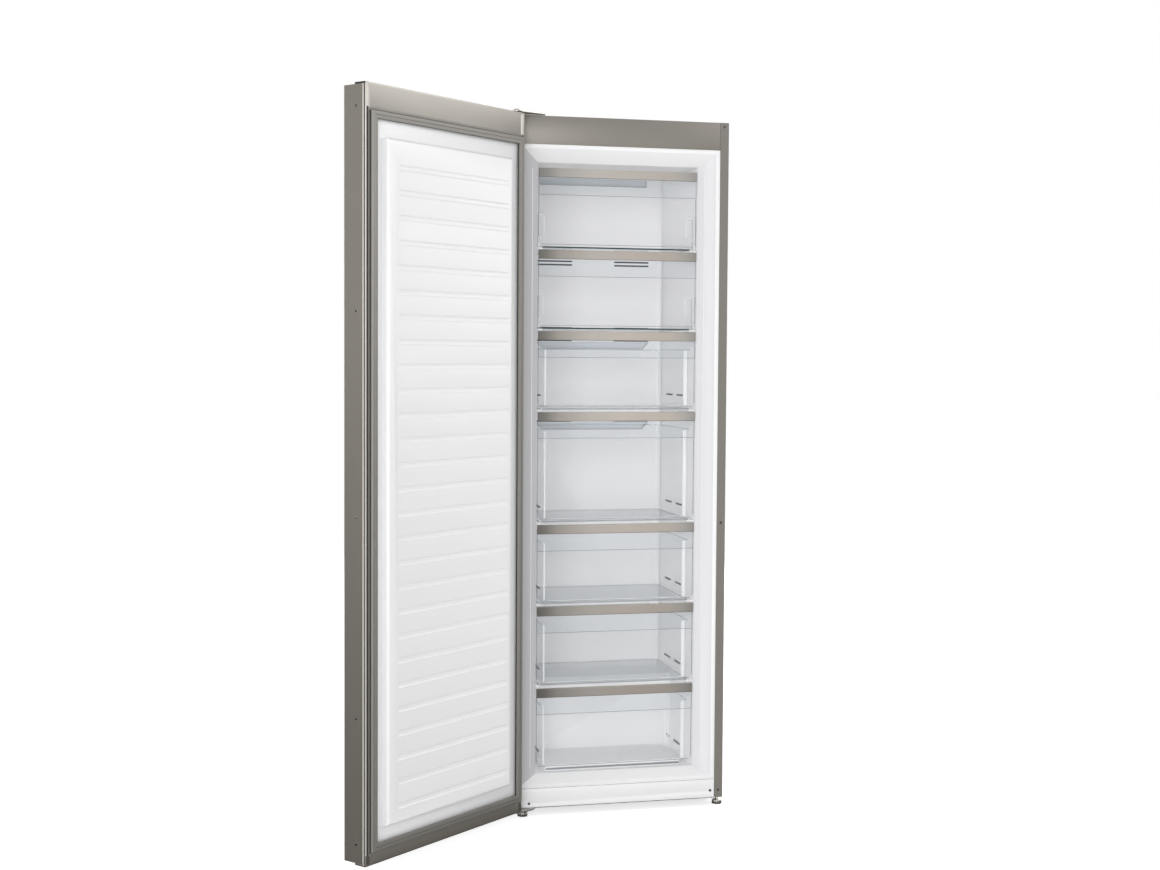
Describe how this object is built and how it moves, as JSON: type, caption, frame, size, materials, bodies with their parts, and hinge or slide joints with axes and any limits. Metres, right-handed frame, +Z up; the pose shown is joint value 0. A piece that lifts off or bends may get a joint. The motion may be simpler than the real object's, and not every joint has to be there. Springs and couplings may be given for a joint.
{
  "type": "upright freezer",
  "caption": "Tall upright freezer with an insulated left-hung door, glass shelves, drop-down flaps, clear pull-out drawers and a cooling unit behind them.",
  "frame": {"origin": "on the floor, midway across the cabinet's width, in the plane of the cabinet's front edge", "axes": "+Z up, the front faces -Y, +X to the right seen from the front"},
  "size_m": [1.0637, 0.9869, 1.86],
  "materials": {
    "cabinet_paint": "satin grey paint",
    "galvanised_steel": "bare galvanised sheet",
    "white_plastic": "smooth moulded sheet",
    "grey_plastic": "satin moulded plastic",
    "dark_plastic": "moulded plastic",
    "rigid_foam": "rigid closed-cell foam",
    "shelf_glass": "clear toughened glass with ground edges",
    "fin_aluminium": "mill finish",
    "pipe_steel": "black paint",
    "pipe_copper": "drawn copper tube",
    "compressor_paint": "black gloss paint",
    "black_rubber": "matte rubber",
    "hinge_steel": "plated steel",
    "clear_plastic": "clear moulded plastic",
    "door_steel": "brushed with a clear coat",
    "gasket_rubber": "soft grey seal",
    "trim_aluminium": "fine brushed satin",
    "display_glass": "dark printed glass"
  },
  "bodies": {
    "cabinet": {"side_panel_left": "cabinet_paint", "side_panel_right": "cabinet_paint", "top_panel": "cabinet_paint", "back_panel": "galvanised_steel", "bottom_panel": "galvanised_steel", "top_fascia": "cabinet_paint", "plinth": "white_plastic", "cabinet_screws": "grey_plastic", "insulation_foam": "rigid_foam", "inner_liner": "white_plastic", "glass_shelves": "shelf_glass", "evaporator_cover": "white_plastic", "air_duct": "rigid_foam", "evaporator": "fin_aluminium", "fan_housing": "dark_plastic", "fan_motor": "dark_plastic", "condenser_coil": "pipe_steel", "machine_room_wall": "galvanised_steel", "machine_base": "galvanised_steel", "compressor": "compressor_paint", "compressor_grommets": "black_rubber", "drip_tray": "dark_plastic", "refrigerant_pipes": "pipe_copper", "control_box": "dark_plastic", "cord_gland": "dark_plastic", "roller_brackets": "galvanised_steel", "top_hinge": "hinge_steel", "bottom_hinge": "hinge_steel", "flap_brackets": "clear_plastic"},
    "door": {"door_skin": "door_steel", "door_edge_trims": "grey_plastic", "door_top_cap": "grey_plastic", "door_bottom_cap": "grey_plastic", "door_hinge_bushes": "dark_plastic", "door_inner_liner": "white_plastic", "door_foam": "rigid_foam", "door_gasket": "gasket_rubber", "door_side_screws": "hinge_steel", "door_handle": "trim_aluminium", "display_window": "display_glass"},
    "flap_1": {"flap_panel_1": "clear_plastic", "flap_trim_1": "trim_aluminium"},
    "flap_2": {"flap_panel_2": "clear_plastic", "flap_trim_2": "trim_aluminium"},
    "drawer_3": {"drawer_tub_3": "clear_plastic", "drawer_trim_3": "trim_aluminium"},
    "drawer_4": {"drawer_tub_4": "clear_plastic", "drawer_trim_4": "trim_aluminium"},
    "drawer_5": {"drawer_tub_5": "clear_plastic", "drawer_trim_5": "trim_aluminium"},
    "drawer_6": {"drawer_tub_6": "clear_plastic", "drawer_trim_6": "trim_aluminium"},
    "drawer_7": {"drawer_tub_7": "clear_plastic", "drawer_trim_7": "trim_aluminium"},
    "fan": {"fan_blades": "dark_plastic"},
    "foot_left": {"front_foot_left": "hinge_steel"},
    "foot_right": {"front_foot_right": "hinge_steel"},
    "wheel_left": {"roller_left": "dark_plastic"},
    "wheel_right": {"roller_right": "dark_plastic"}
  },
  "joints": [
    {"name": "door_swing", "type": "hinge", "parent": "cabinet", "child": "door", "pos_m": [-0.2871, -0.0292, 0.94], "axis": [0, 0, -1], "range_deg": [-139, 0]},
    {"name": "flap_1_tilt", "type": "hinge", "parent": "cabinet", "child": "flap_1", "pos_m": [0, 0.042, 1.5299], "axis": [1, 0, 0], "range_deg": [0, 88]},
    {"name": "flap_2_tilt", "type": "hinge", "parent": "cabinet", "child": "flap_2", "pos_m": [0, 0.042, 1.3154], "axis": [1, 0, 0], "range_deg": [0, 88]},
    {"name": "drawer_3_slide", "type": "slide", "parent": "cabinet", "child": "drawer_3", "axis": [0, -1, 0], "range_m": [0, 0.28]},
    {"name": "drawer_4_slide", "type": "slide", "parent": "cabinet", "child": "drawer_4", "axis": [0, -1, 0], "range_m": [0, 0.28]},
    {"name": "drawer_5_slide", "type": "slide", "parent": "cabinet", "child": "drawer_5", "axis": [0, -1, 0], "range_m": [0, 0.28]},
    {"name": "drawer_6_slide", "type": "slide", "parent": "cabinet", "child": "drawer_6", "axis": [0, -1, 0], "range_m": [0, 0.28]},
    {"name": "drawer_7_slide", "type": "slide", "parent": "cabinet", "child": "drawer_7", "axis": [0, -1, 0], "range_m": [0, 0.18]},
    {"name": "fan_spin", "type": "hinge", "parent": "cabinet", "child": "fan", "pos_m": [0, 0.405, 0.8], "axis": [0, 1, 0], "continuous": true},
    {"name": "foot_left_turn", "type": "hinge", "parent": "cabinet", "child": "foot_left", "pos_m": [-0.257, 0.01, 0], "axis": [0, 0, 1], "range_deg": [-1080, 1080]},
    {"name": "foot_right_turn", "type": "hinge", "parent": "cabinet", "child": "foot_right", "pos_m": [0.289, 0.024, 0], "axis": [0, 0, 1], "range_deg": [-1080, 1080]},
    {"name": "wheel_left_spin", "type": "hinge", "parent": "cabinet", "child": "wheel_left", "pos_m": [-0.24, 0.52, 0.011], "axis": [1, 0, 0], "continuous": true},
    {"name": "wheel_right_spin", "type": "hinge", "parent": "cabinet", "child": "wheel_right", "pos_m": [0.24, 0.52, 0.011], "axis": [1, 0, 0], "continuous": true}
  ]
}
